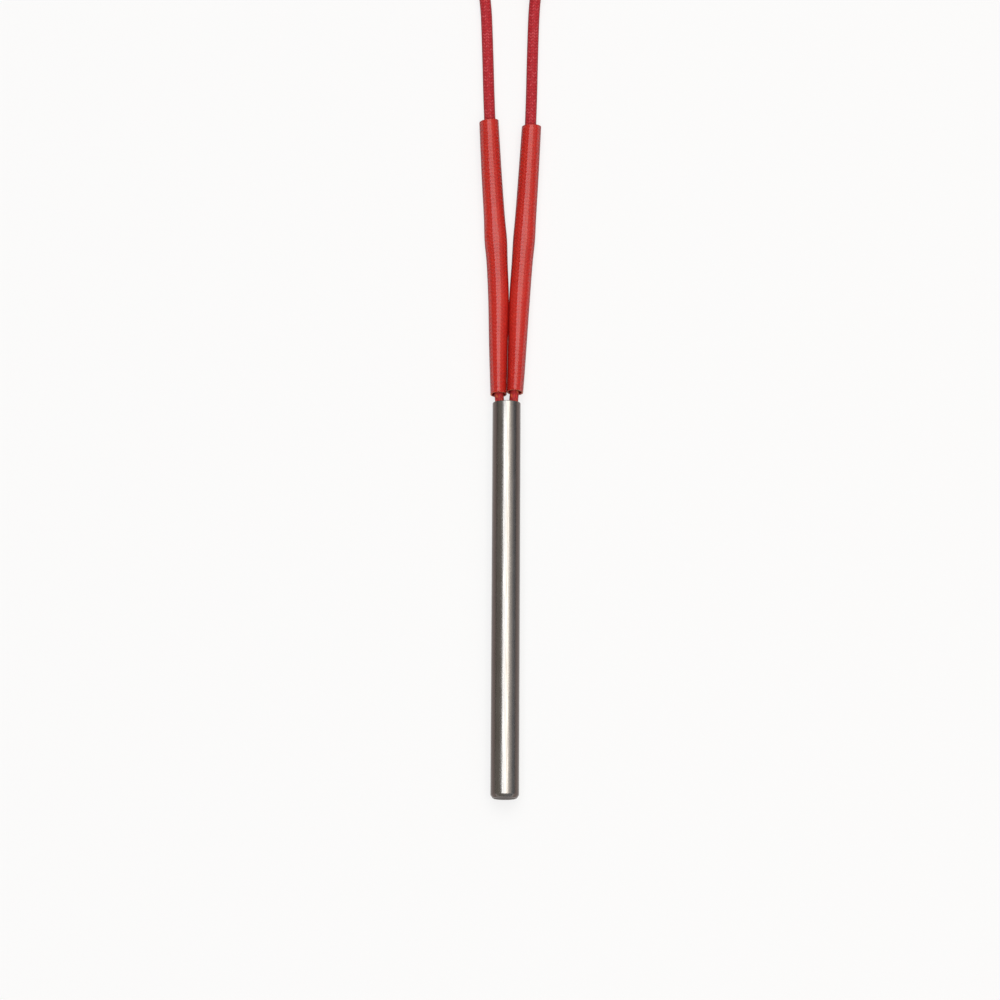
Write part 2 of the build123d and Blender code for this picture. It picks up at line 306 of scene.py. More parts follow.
def noise(tree, vector, scale, detail=3.0):
    """Factor of a noise texture."""
    node = tree.nodes.new("ShaderNodeTexNoise")
    feed(tree, node.inputs["Vector"], vector)
    node.inputs["Scale"].default_value = scale
    node.inputs["Detail"].default_value = detail
    node.inputs["Roughness"].default_value = 0.55
    return node.outputs["Fac"]


def object_place(tree):
    """The Object coordinates."""
    return tree.nodes.new("ShaderNodeTexCoord").outputs["Object"]


def relief(tree, height, depth):
    """Normal of a Bump node over a height from 0 to 1 that stands for a depth in metres."""
    node = tree.nodes.new("ShaderNodeBump")
    node.inputs["Strength"].default_value = 1.0
    node.inputs["Distance"].default_value = depth
    feed(tree, node.inputs["Height"], height)
    return node.outputs["Normal"]


def group_with(name, inputs, outputs):
    """A new shader node group with its sockets, and its input and output nodes."""
    tree = bpy.data.node_groups.new(name, "ShaderNodeTree")
    for socket_name, kind, default in inputs:
        socket = tree.interface.new_socket(name=socket_name, in_out="INPUT", socket_type=kind)
        if default is not None:
            socket.default_value = default
    for socket_name, kind in outputs:
        tree.interface.new_socket(name=socket_name, in_out="OUTPUT", socket_type=kind)
    return tree, tree.nodes.new("NodeGroupInput").outputs, tree.nodes.new("NodeGroupOutput").inputs


def use_group(tree, name, **values):
    """Place a shared node group in a tree, made if it isn't there yet, and set its inputs."""
    node = tree.nodes.new("ShaderNodeGroup")
    node.node_tree = bpy.data.node_groups.get(name) or SHARED_GROUPS[name]()
    for key, value in values.items():
        feed(tree, node.inputs[key], value)
    return node.outputs


def make_braid_group():
    """Chevrons of a braid: columns of slanting yarns that lean left and right in turn."""
    tree, given, result = group_with(
        "Braid",
        (
            ("UV", "NodeSocketVector", None),
            ("Columns", "NodeSocketFloat", 24.0),
            ("Pitch", "NodeSocketFloat", 0.001),
            ("Lean", "NodeSocketFloat", 0.7),
            ("Sharpness", "NodeSocketFloat", 1.0),
        ),
        (("Yarn", "NodeSocketFloat"), ("Tint", "NodeSocketFloat")),
    )
    split = tree.nodes.new("ShaderNodeSeparateXYZ")
    feed(tree, split.inputs[0], given["UV"])
    across = compute(tree, "MULTIPLY", split.outputs["X"], given["Columns"])
    column = compute(tree, "FLOOR", across)
    offset = compute(tree, "SUBTRACT", compute(tree, "SUBTRACT", across, column), 0.5)
    odd = compute(tree, "FLOORED_MODULO", column, 2.0)
    hand = compute(tree, "SUBTRACT", 1.0, compute(tree, "MULTIPLY", odd, 2.0))
    slant = compute(tree, "MULTIPLY", compute(tree, "MULTIPLY", offset, hand), given["Lean"])
    along = compute(tree, "ADD", compute(tree, "DIVIDE", split.outputs["Y"], given["Pitch"]), slant)
    wave = compute(tree, "COSINE", compute(tree, "MULTIPLY", along, math.tau))
    ridge = compute(tree, "ADD", compute(tree, "MULTIPLY", wave, 0.5), 0.5)
    ridge = compute(tree, "POWER", ridge, given["Sharpness"])
    edge = compute(tree, "MULTIPLY", compute(tree, "ABSOLUTE", offset), 2.0)
    dome = compute(tree, "SUBTRACT", 1.0, compute(tree, "POWER", edge, 3.0))
    feed(tree, result["Yarn"], compute(tree, "MULTIPLY", ridge, dome))
    cell = tree.nodes.new("ShaderNodeCombineXYZ")
    feed(tree, cell.inputs["X"], column)
    feed(tree, cell.inputs["Y"], compute(tree, "FLOOR", compute(tree, "ADD", along, 0.5)))
    chance = tree.nodes.new("ShaderNodeTexWhiteNoise")
    feed(tree, chance.inputs["Vector"], cell.outputs[0])
    feed(tree, result["Tint"], chance.outputs["Value"])
    return tree


def make_grain_group():
    """Fine marks of grinding along the tube, worked out round the tube's own axis."""
    tree, given, result = group_with(
        "Ground Steel",
        (
            ("Place", "NodeSocketVector", None),
            ("Stretch", "NodeSocketFloat", 40.0),
            ("Fineness", "NodeSocketFloat", 2600.0),
        ),
        (("Marks", "NodeSocketFloat"), ("Cloud", "NodeSocketFloat"), ("Rings", "NodeSocketFloat")),
    )
    split = tree.nodes.new("ShaderNodeSeparateXYZ")
    feed(tree, split.inputs[0], given["Place"])
    height = compute(tree, "SUBTRACT", split.outputs["Z"], AXIS_HEIGHT)
    turn = compute(tree, "ARCTAN2", split.outputs["X"], height)
    rolled = tree.nodes.new("ShaderNodeCombineXYZ")
    feed(tree, rolled.inputs["X"], compute(tree, "MULTIPLY", turn, SHEATH_RADIUS))
    feed(tree, rolled.inputs["Y"], compute(tree, "DIVIDE", split.outputs["Y"], given["Stretch"]))
    marks = tree.nodes.new("ShaderNodeTexNoise")
    feed(tree, marks.inputs["Vector"], rolled.outputs[0])
    feed(tree, marks.inputs["Scale"], given["Fineness"])
    marks.inputs["Detail"].default_value = 4.0
    feed(tree, result["Marks"], marks.outputs["Fac"])
    feed(tree, result["Cloud"], noise(tree, given["Place"], 120.0))
    from_mouth = compute(tree, "SUBTRACT", MOUTH_Y, split.outputs["Y"])
    ring = compute(tree, "SINE", compute(tree, "MULTIPLY", from_mouth, math.tau / RING_PITCH))
    near_mouth = ramp(tree, from_mouth, 2 * RING_PITCH, 5 * RING_PITCH, 1.0, 0.0)
    worn = ramp(tree, noise(tree, given["Place"], 420.0), 0.48, 0.60)
    ring = compute(tree, "MULTIPLY", ramp(tree, ring, 0.2, 0.9), near_mouth)
    feed(tree, result["Rings"], compute(tree, "MULTIPLY", ring, worn))
    return tree


def make_mottle_group():
    """Slight unevenness of a fired, moulded or pressed surface."""
    tree, given, result = group_with(
        "Mottle",
        (("Place", "NodeSocketVector", None), ("Scale", "NodeSocketFloat", 900.0)),
        (("Fine", "NodeSocketFloat"), ("Broad", "NodeSocketFloat")),
    )
    for name, share in (("Fine", 1.0), ("Broad", 0.2)):
        texture = tree.nodes.new("ShaderNodeTexNoise")
        feed(tree, texture.inputs["Vector"], given["Place"])
        feed(tree, texture.inputs["Scale"], compute(tree, "MULTIPLY", given["Scale"], share))
        texture.inputs["Detail"].default_value = 5.0
        feed(tree, result[name], texture.outputs["Fac"])
    return tree


SHARED_GROUPS = {"Braid": make_braid_group, "Ground Steel": make_grain_group, "Mottle": make_mottle_group}


def new_material(name):
    """A material with nodes, its tree and its Principled BSDF's inputs."""
    material = bpy.data.materials.new(name)
    material.use_nodes = True
    return material, material.node_tree, material.node_tree.nodes["Principled BSDF"].inputs


# Materials


def edge_share(tree, start, end):
    """How far a surface has turned away from the viewer, from 0 to 1 between two facing values."""
    weight = tree.nodes.new("ShaderNodeLayerWeight")
    weight.inputs["Blend"].default_value = 0.5
    return ramp(tree, weight.outputs["Facing"], start, end)


def steel_material(name, colour, roughness=0.24, depth=0.006 * MM, edge_tint=(1.0, 1.0, 1.0)):
    """Ground steel: lengthwise marks, faint rings near the mouth and a painted dark reflection on the
    turned-away sides.
    """
    material, tree, shader = new_material(name)
    place = object_place(tree)
    grain = use_group(tree, "Ground Steel", Place=place)
    dark = [0.78 * part for part in colour]
    # painted dark reflection: the sides that turn away from the viewer are darkened to about a quarter of the
    # steel's colour
    away = [0.25 * colour[0], 0.20 * colour[1], 0.19 * colour[2]]
    ring_brown = (0.20, 0.18, 0.17)
    metal = blend_colours(tree, ramp(tree, grain["Marks"], 0.38, 0.62), dark, colour)
    ringed = ramp(tree, grain["Rings"], 0.0, 1.0, 0.0, 0.45)
    metal = blend_colours(tree, ringed, metal, ring_brown)
    feed(tree, shader["Base Color"], blend_colours(tree, edge_share(tree, 0.17, 0.34), metal, away))
    shader["Metallic"].default_value = 1.0
    shader["Specular Tint"].default_value = (*edge_tint, 1.0)
    rough = ramp(tree, grain["Marks"], 0.3, 0.7, roughness + 0.07, roughness - 0.05)
    rough = compute(tree, "ADD", rough, ramp(tree, grain["Cloud"], 0.3, 0.7, -0.02, 0.03))
    feed(tree, shader["Roughness"], rough)
    feed(tree, shader["Normal"], relief(tree, grain["Marks"], depth))
    return material


def mottled_material(name, colour, roughness, scale, depth=0.02 * MM, metallic=0.0):
    """Ceramic, cement, nylon or plated metal: a mottled surface of one colour."""
    material, tree, shader = new_material(name)
    mottle = use_group(tree, "Mottle", Place=object_place(tree), Scale=scale)
    dark = [0.82 * part for part in colour]
    broad = ramp(tree, mottle["Broad"], 0.35, 0.65)
    feed(tree, shader["Base Color"], blend_colours(tree, broad, dark, colour))
    shader["Metallic"].default_value = metallic
    feed(tree, shader["Roughness"], ramp(tree, mottle["Fine"], 0.3, 0.7, roughness - 0.06, roughness + 0.06))
    feed(tree, shader["Normal"], relief(tree, mottle["Fine"], depth))
    return material


def uv_place(tree):
    """The piece's own UV map."""
    node = tree.nodes.new("ShaderNodeUVMap")
    node.uv_map = "braid"
    return node.outputs["UV"]


def sleeve_material(sizes):
    """Glossy silicone over a braid, whose chevrons stand out where the coating is thin, with painted shade in
    the hollows and on the turned-away sides.
    """
    material, tree, shader = new_material("sleeve_coating")
    place = object_place(tree)
    braid = use_group(
        tree, "Braid", UV=uv_place(tree), Columns=float(sizes.columns), Pitch=sizes.pitch, Lean=0.66,
        Sharpness=1.3,
    )
    thin = ramp(tree, noise(tree, place, 40.0, 2.0), 0.38, 0.60, 0.35, 1.0)
    height = compute(tree, "MULTIPLY", braid["Yarn"], thin)
    scarlet = tuple(sizes.scarlet)
    # painted shade in the braid's hollows: the coating is a tenth darker between the yarns
    painted_hollow_shade = [0.90 * part for part in scarlet]
    colour = blend_colours(tree, ramp(tree, braid["Yarn"], 0.1, 0.8), painted_hollow_shade, scarlet)
    patchy = ramp(tree, noise(tree, place, 260.0), 0.35, 0.7, 0.0, 0.35)
    colour = blend_colours(tree, patchy, colour, tuple(sizes.orange))
    # painted shade where the coating turns away from the viewer; the same share also thins the coat
    away = edge_share(tree, 0.25, 0.85)
    feed(tree, shader["Base Color"], blend_colours(tree, away, colour, tuple(sizes.shade)))
    feed(tree, shader["Roughness"], ramp(tree, noise(tree, place, 700.0), 0.3, 0.7, 0.36, 0.44))
    shader["Specular IOR Level"].default_value = 0.22
    shader["Coat Roughness"].default_value = 0.10
    feed(tree, shader["Coat Weight"], ramp(tree, away, 0.0, 0.5, 0.85, 0.12))
    feed(tree, shader["Normal"], relief(tree, height, 0.22 * MM))
    return material


def cut_fibre_material(sizes):
    """Cut edge of a sleeve: pale fibre ends between the two coats."""
    material, tree, shader = new_material("sleeve_cut_fibre")
    place = object_place(tree)
    speck = ramp(tree, noise(tree, place, 3000.0, 2.0), 0.36, 0.56)
    coat = [0.9 * part for part in sizes.scarlet]
    feed(tree, shader["Base Color"], blend_colours(tree, speck, coat, tuple(sizes.fibre)))
    shader["Roughness"].default_value = 0.75
    feed(tree, shader["Normal"], relief(tree, speck, 0.05 * MM))
    return material


def lead_material(name, columns, pitch, colour, fleck):
    """Varnished glass fibre braid, or a ribbed core: fine diamonds with some paler yarns that are partly
    painted glints, and painted shade in the hollows and on the turned-away sides.
    """
    material, tree, shader = new_material(name)
    braid = use_group(
        tree, "Braid", UV=uv_place(tree), Columns=float(columns), Pitch=pitch, Lean=0.62, Sharpness=0.9,
    )
    raised = ramp(tree, braid["Yarn"], 0.2, 0.7)
    # paler yarn flecks on the raised yarn tops, partly painted glints
    pale = compute(tree, "MULTIPLY", ramp(tree, braid["Tint"], 0.40, 0.95), raised)
    # painted shade in the braid's hollows: the colour darkens where the yarns are low
    painted_hollow_shade = [0.74 * part for part in colour]
    ground = blend_colours(tree, ramp(tree, braid["Yarn"], 0.05, 0.6), painted_hollow_shade, tuple(colour))
    flecked = blend_colours(tree, pale, ground, tuple(fleck))
    # painted shade on the sides that turn away from the viewer
    shaded = [0.52 * part for part in colour]
    feed(tree, shader["Base Color"], blend_colours(tree, edge_share(tree, 0.35, 0.95), flecked, shaded))
    feed(tree, shader["Roughness"], ramp(tree, braid["Tint"], 0.0, 1.0, 0.42, 0.58))
    shader["Specular IOR Level"].default_value = 0.18
    feed(tree, shader["Normal"], relief(tree, braid["Yarn"], 0.09 * MM))
    return material


def backdrop_material(name, colour, white):
    """Pale floor: matt, so that it takes shadows, and paled with white to the camera and in reflections."""
    material = bpy.data.materials.new(name)
    material.use_nodes = True
    tree = material.node_tree
    tree.nodes.clear()
    matt = tree.nodes.new("ShaderNodeBsdfDiffuse")
    matt.inputs["Color"].default_value = (*colour, 1.0)
    glow = tree.nodes.new("ShaderNodeEmission")
    glow.inputs["Color"].default_value = (1.0, 1.0, 1.0, 1.0)
    path = tree.nodes.new("ShaderNodeLightPath")
    seen = compute(tree, "MAXIMUM", path.outputs["Is Camera Ray"], path.outputs["Is Glossy Ray"])
    seen = compute(tree, "MAXIMUM", seen, path.outputs["Is Transmission Ray"])
    both = tree.nodes.new("ShaderNodeMixShader")
    feed(tree, both.inputs["Fac"], compute(tree, "MULTIPLY", seen, white))
    tree.links.new(matt.outputs[0], both.inputs[1])
    tree.links.new(glow.outputs[0], both.inputs[2])
    tree.links.new(both.outputs[0], tree.nodes.new("ShaderNodeOutputMaterial").inputs["Surface"])
    return material


# Mesh helpers


def add_piece(name, mesh_builder, *materials):
    """A new object at the origin from a bmesh that a function fills."""
    shape = bmesh.new()
    mesh_builder(shape)
    mesh = bpy.data.meshes.new(name)
    shape.to_mesh(mesh)
    shape.free()
    for material in materials:
        mesh.materials.append(material)
    piece = bpy.data.objects.new(name, mesh)
    bpy.context.scene.collection.objects.link(piece)
    return piece


def smooth_but_edges(piece, angle=math.radians(28)):
    """Smooth shading, with edges sharper than an angle left crisp."""
    piece.data.shade_smooth()
    piece.data.set_sharp_from_angle(angle=angle)


def spun(shape, profile, segments):
    """Spin a profile of (radius, y) about the heater's axis into a closed surface."""
    verts = [shape.verts.new((radius, y, AXIS_HEIGHT)) for radius, y in profile]
    edges = [shape.edges.new(pair) for pair in zip(verts, verts[1:])]
    bmesh.ops.spin(
        shape, geom=verts + edges, cent=(0.0, 0.0, AXIS_HEIGHT), axis=(0.0, 1.0, 0.0), angle=math.tau,
        steps=segments, use_merge=True,
    )
    bmesh.ops.remove_doubles(shape, verts=shape.verts, dist=1e-7)
    bmesh.ops.recalc_face_normals(shape, faces=shape.faces)


def curve_points(control_points, resolution=16):
    """Points along the smooth line of a NURBS spline through its control points' neighbourhood."""
    curve = bpy.data.curves.new("route", "CURVE")
    curve.dimensions = "3D"
    spline = curve.splines.new("NURBS")
    spline.points.add(len(control_points) - 1)
    for point, place in zip(spline.points, control_points):
        point.co = (*place, 1.0)
    spline.order_u = 3
    spline.use_endpoint_u = True
    spline.resolution_u = resolution
    holder = bpy.data.objects.new("route", curve)
    line = bpy.data.meshes.new_from_object(holder)
    points = [vertex.co.copy() for vertex in line.vertices]
    bpy.data.meshes.remove(line)
    bpy.data.objects.remove(holder)
    bpy.data.curves.remove(curve)
    return points


def spaced(points, step):
    """The same line with its points about one step apart."""
    kept = [points[0]]
    for point in points[1:-1]:
        if (point - kept[-1]).length >= step:
            kept.append(point)
    kept.append(points[-1])
    return kept


def frames_along(points):
    """A frame at each point that turns no more than the line does: side, up and heading."""
    side = Vector((1.0, 0.0, 0.0))
    frames = []
    for index, point in enumerate(points):
        before, after = points[max(index - 1, 0)], points[min(index + 1, len(points) - 1)]
        heading = (after - before).normalized()
        side = (side - heading * side.dot(heading)).normalized()
        frames.append((point, side, heading.cross(side), heading))
    return frames


def tube(shape, rings, closed_ends=True):
    """Skin rings of points into a tube with a UV map: u once round, v in metres along."""
    uv = shape.loops.layers.uv.new("braid")
    count = len(rings[0][1])
    ring = bmesh.ops.create_circle(shape, cap_ends=False, segments=count, radius=1.0)["verts"]
    start = bmesh.ops.contextual_create(shape, geom=ring)["faces"][0] if closed_ends else None
    for vert, place in zip(ring, rings[0][1]):
        vert.co = place
    rows = [ring]
    for _, places in rings[1:]:
        edges = [shape.edges.get((a, b)) for a, b in zip(rows[-1], rows[-1][1:] + rows[-1][:1])]
        grown = bmesh.ops.extrude_edge_only(shape, edges=edges)["geom"]
        twins = {}
        for edge in grown:
            if isinstance(edge, bmesh.types.BMEdge):
                for vert in edge.verts:
                    twins[vert] = True
        fresh = []
        for vert in rows[-1]:
            fresh.append(next(e.other_vert(vert) for e in vert.link_edges if e.other_vert(vert) in twins))
        for vert, place in zip(fresh, places):
            vert.co = place
        rows.append(fresh)
    if closed_ends:
        bmesh.ops.contextual_create(shape, geom=rows[-1])
    where = {}
    for (along, _), row in zip(rings, rows):
        for index, vert in enumerate(row):
            where[vert] = (index, along)
    for face in shape.faces:
        indices = [where[vert][0] for vert in face.verts]
        wraps = max(indices) - min(indices) > count / 2
        for loop in face.loops:
            index, along = where[loop.vert]
            loop[uv].uv = ((index + (count if wraps and index < count / 2 else 0)) / count, along)
    bmesh.ops.recalc_face_normals(shape, faces=shape.faces)
    if start is not None and not start.is_valid:
        raise RuntimeError("the tube lost its first cap")


def round_rings(points, radius, segments, lobes=0, lobe_depth=0.0, twist=0.0):
    """Rings of a round cord along points, or of a twisted strand whose section has lobes."""
    rings = []
    along = 0.0
    last = points[0]
    for point, side, up, _ in frames_along(points):
        along += (point - last).length
        last = point
        places = []
        for index in range(segments):
            angle = math.tau * index / segments
            reach = radius * (1 - lobe_depth * (0.5 - 0.5 * math.cos(lobes * angle)))
            turned = angle + twist * along
            places.append(point + (side * math.cos(turned) + up * math.sin(turned)) * reach)
        rings.append((along, places))
    return rings


def between(sections, along, column):
    """A section's value at a distance along the sleeve, on a smooth line through the sections."""
    index = max(i for i, section in enumerate(sections[:-1]) if section[0] <= along + 1e-9)
    first, second = sections[index], sections[index + 1]
    before, after = sections[max(index - 1, 0)], sections[min(index + 2, len(sections) - 1)]
    span = second[0] - first[0]
    share = (along - first[0]) / span
    slope_in = (second[column] - before[column]) / (second[0] - before[0])
    slope_out = (after[column] - first[column]) / (after[0] - first[0])
    return (
        (2 * share**3 - 3 * share**2 + 1) * first[column]
        + (share**3 - 2 * share**2 + share) * span * slope_in
        + (3 * share**2 - 2 * share**3) * second[column]
        + (share**3 - share**2) * span * slope_out
    )


def ring_edges(shape, radius, y):
    """Edges round the heater's axis at one radius and distance along it."""
    near = 1e-6

    def on_ring(vert):
        reach = math.hypot(vert.co.x, vert.co.z - AXIS_HEIGHT)
        return abs(vert.co.y - y) < near and abs(reach - radius) < near

    return [edge for edge in shape.edges if all(on_ring(vert) for vert in edge.verts)]


# Routes of the leads, as in the frame: x, distance past the mouth and z, in millimetres

CORE_X = 2.27
IN_SLEEVE = 2.655
ON_FLOOR = 2.035
BRAID_START_SHARE = 0.2
HANK_MIDDLE = (0.6, 198.0)
TIE_LIFT = 0.92
TIE_LIFT_REACH = 12.0

LEFT_ROUTE = [
    (-CORE_X, -9.0, 4.95),
    (-CORE_X, -1.0, 4.95),
    (-2.90, 5.0, 4.80),
    (-3.00, 20.0, 3.90),
    (-3.15, 42.0, IN_SLEEVE + 0.15),
    (-4.95, 73.0, IN_SLEEVE),
    (-6.68, 107.0, IN_SLEEVE + 0.12),
    (-7.40, 131.0, ON_FLOOR),
    (-8.20, 151.0, ON_FLOOR),
    (-10.80, 161.2, ON_FLOOR),
]
RIGHT_ROUTE = [
    (CORE_X, -9.0, 4.95),
    (CORE_X, -1.0, 4.95),
    (2.90, 5.5, 4.80),
    (3.60, 20.0, 3.85),
    (4.60, 42.0, IN_SLEEVE + 0.15),
    (6.80, 73.0, IN_SLEEVE),
    (8.28, 106.0, IN_SLEEVE + 0.12),
    (8.72, 131.0, ON_FLOOR),
    (9.30, 149.0, 2.90),
    (10.55, 156.0, 5.20),
    (11.75, 160.9, 5.90),
]

# The leads' last stretches past the tie: distance to the lead's own side, distance past the tie, z
LEFT_TAIL = [(1.9, 2.0, TIE_LIFT + ON_FLOOR), (3.3, 9.0, ON_FLOOR), (4.3, 15.0, ON_FLOOR)]
RIGHT_TAIL = [(1.9, 2.0, TIE_LIFT + 3 * ON_FLOOR), (3.2, 9.0, ON_FLOOR), (3.9, 15.5, ON_FLOOR)]

# Sleeve sections: distance past the mouth, x of the edge that faces the other sleeve, both in
# millimetres, and half width as a share of the round radius
LEFT_SECTIONS = [
    (3.3, -0.01, 0.795),
    (9.5, 0.10, 0.84),
    (22.0, 0.34, 0.93),
    (38.0, 0.66, 1.024),
    (52.0, 0.16, 1.05),
    (60.0, -0.09, 1.12),
    (68.0, -0.87, 1.05),
    (84.0, -2.08, 1.01),
    (103.8, -3.36, 0.96),
]
RIGHT_SECTIONS = [
    (4.1, 0.01, 0.805),
    (9.5, 0.12, 0.85),
    (22.0, 0.36, 0.93),
    (38.0, 0.70, 1.024),
    (52.0, 1.57, 1.04),
    (60.0, 1.98, 1.09),
    (68.0, 2.65, 1.05),
    (84.0, 3.78, 1.01),
    (101.9, 4.97, 0.96),
]

SIDES = (
    ("left", -1, LEFT_ROUTE, LEFT_TAIL, LEFT_SECTIONS),
    ("right", 1, RIGHT_ROUTE, RIGHT_TAIL, RIGHT_SECTIONS),
)


def placed(x, along, z):
    """A point given in millimetres from the mouth, in the frame."""
    return Vector((x * MM, MOUTH_Y + along * MM, z * MM))


def braid_start(route):
    """Where the braid begins, on the run after the core leaves the mouth."""
    return placed(*route[2]).lerp(placed(*route[3]), BRAID_START_SHARE)


def fold(middle_x, middle_y, radius, first, last):
    """Control points of half a turn of the hank, thirty degrees apart."""
    step = 30
    reach = radius / math.cos(math.radians(step / 2))
    points = []
    for degrees in range(first + step // 2, last, step):
        angle = math.radians(degrees)
        points.append((middle_x + reach * math.cos(angle), middle_y + reach * math.sin(angle)))
    return points


def hank_turns(sizes, sign, tail):
    """Control points of one lead's turns in the hank: three runs, two folds and the end past the tie."""
    half_run = sizes.hank_half_run / MM
    small = sizes.fold_radius / MM
    lane = sizes.diameter / MM
    large = small + lane / 2
    layer = ON_FLOOR if sign < 0 else 3 * ON_FLOOR
    waist = [(large, 19.2), (0.77 * large, 13.0), (0.42 * large, 7.0), (lane, 2.5)]
    up = [(x, -y) for x, y in waist] + [(x, y) for x, y in reversed(waist)]
    down = [(-x, y) for x, y in waist] + [(-x, -y) for x, y in reversed(waist)]
    last_up = [(large - lane, -19.7), (7.4, -14.5), (3.2, -9.0), (0.5, -3.5)]
    turns = up + fold(0.0, half_run, large, 0, 180) + down
    turns += fold(small - large, -half_run, small, 180, 360) + last_up
    points = []
    for x, y in turns:
        lift = TIE_LIFT * max(0.0, 1 - abs(y) / TIE_LIFT_REACH)
        points.append(placed(HANK_MIDDLE[0] + sign * x, HANK_MIDDLE[1] + y, layer + lift))
    for x, y, z in tail:
        points.append(placed(HANK_MIDDLE[0] + sign * x, HANK_MIDDLE[1] + y, z))
    return points


# Operators


class IGNITER_OT_stage(bpy.types.Operator):
    """Lay the floor, hang the lamps and set up the camera"""

    bl_idname = "igniter.stage"
    bl_label = "Stage"

    def lamp(self, lights, name, lean, width, radiance, colour):
        """A long rectangular lamp along the heater, leaning to one side of straight above it."""
        data = bpy.data.lights.new(name, "AREA")
        data.shape = "RECTANGLE"
        data.size, data.size_y = width, lights.lamp_length
        data.energy = radiance * math.pi * data.size * data.size_y
        data.color = colour
        lamp = bpy.data.objects.new(name, data)
        away = Vector((math.sin(lean), 0.0, math.cos(lean)))
        along = Vector((0.0, 1.0, 0.0))
        turn = Matrix((along.cross(away), along, away)).transposed().to_4x4()
        lamp.matrix_world = Matrix.Translation(away * lights.lamp_reach) @ turn
        bpy.context.scene.collection.objects.link(lamp)

    def execute(self, context):
        lights, view = context.scene.igniter_lights, context.scene.igniter_camera
        context.scene.view_settings.view_transform = "Standard"

        floor_half_width = 4.0

        def plane(shape):
            bmesh.ops.create_grid(shape, x_segments=1, y_segments=1, size=floor_half_width)

        paper = backdrop_material("floor_paper", lights.floor_colour, lights.floor_white)
        floor = add_piece("floor", plane, paper)

        for name, lean, width, radiance, colour in (
            ("lamp_cool", -11.6, 0.80, lights.key_radiance, (0.94, 0.965, 1.0)),
            ("lamp_warm", 12.4, 0.80, lights.key_radiance, (1.0, 0.95, 0.88)),
            ("lamp_side", 31.0, 0.52, lights.fill_radiance, (1.0, 0.88, 0.76)),
            ("lamp_far_side", 48.0, 0.56, 0.4 * lights.fill_radiance, (1.0, 0.86, 0.74)),
        ):
            self.lamp(lights, name, math.radians(lean), width, radiance, colour)

        world = bpy.data.worlds.new("studio")
        context.scene.world = world
        world.use_nodes = True
        tree = world.node_tree
        split = tree.nodes.new("ShaderNodeSeparateXYZ")
        tree.links.new(tree.nodes.new("ShaderNodeTexCoord").outputs["Generated"], split.inputs[0])
        side = ramp(tree, split.outputs["X"], -0.7, 0.7)
        room = blend_colours(tree, side, tuple(lights.room_left), tuple(lights.room_right))
        seen = tree.nodes.new("ShaderNodeLightPath").outputs["Is Camera Ray"]
        around = blend_colours(tree, seen, room, (1.0, 1.0, 1.0))
        feed(tree, tree.nodes["Background"].inputs["Color"], around)

        back = Vector((0.0, -math.cos(view.elevation), math.sin(view.elevation)))
        right = Vector((1.0, 0.0, 0.0))
        up = back.cross(right)
        turned_right = right * math.cos(view.roll) + up * math.sin(view.roll)
        turned_up = up * math.cos(view.roll) - right * math.sin(view.roll)
        data = bpy.data.cameras.new("camera")
        data.sensor_width = 36.0
        data.lens = view.lens
        data.clip_start, data.clip_end = 0.05, 20.0
        camera = bpy.data.objects.new("camera", data)
        turn = Matrix((turned_right, turned_up, back)).transposed().to_4x4()
        camera.matrix_world = Matrix.Translation(Vector(view.target) + back * view.distance) @ turn
        context.scene.collection.objects.link(camera)
        context.scene.camera = camera
        return {"FINISHED"}


class IGNITER_OT_leads(bpy.types.Operator):
    """Model the thin cores, the braided leads with their hank, and the stripped ends"""

    bl_idname = "igniter.leads"
    bl_label = "Leads"

    def execute(self, context):
        sizes = context.scene.igniter_leads
        braid = lead_material("lead_braid", 16, 1.15 * MM, sizes.crimson, sizes.fleck)
        silicone = lead_material("core_silicone", 10, 1.9 * MM, sizes.silicone, sizes.silicone_fleck)
        tinned = mottled_material("tinned_strand", (0.70, 0.69, 0.66), 0.34, 1800.0, 0.01 * MM, 1.0)
        for side, sign, route, tail, _ in SIDES:
            start = braid_start(route)
            core_line = curve_points([placed(*point) for point in route[:3]] + [start], 8)
            core_radius = sizes.core_diameter / 2
            core = add_piece(
                f"lead_core_{side}_wire",
                lambda shape: tube(shape, round_rings(spaced(core_line, 0.4 * MM), core_radius, 32)),
                silicone,
            )
            smooth_but_edges(core)
            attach(core, "root")
            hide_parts(f"lead_core_{side}")

            control = [start] + [placed(*point) for point in route[3:]] + hank_turns(sizes, sign, tail)
            line = spaced(curve_points(control, 48), 0.45 * MM)
            lead = add_piece(
                f"braided_lead_{side}",
                lambda shape: tube(shape, round_rings(line, sizes.diameter / 2, 28)),
                braid,
            )
            lead.data.shade_smooth()
            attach(lead, "root")
            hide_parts(f"lead_{side}", "lead_hank")

            heading = (control[-1] - control[-2]).normalized()
            bare_line = [control[-1] + heading * (0.4 * MM * step) for step in range(-1, 26)]
            bare = add_piece(
                f"stripped_end_{side}",
                lambda shape: tube(
                    shape,
                    round_rings(
                        bare_line, sizes.bare_diameter / 2, 42, lobes=7, lobe_depth=0.3, twist=420.0,
                    ),
                ),
                tinned,
            )
            bare.data.shade_smooth()
            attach(bare, "root")
            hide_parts(f"bare_end_{side}")
            context.scene[f"lead_line_{side}"] = [list(point) for point in line]
        return {"FINISHED"}


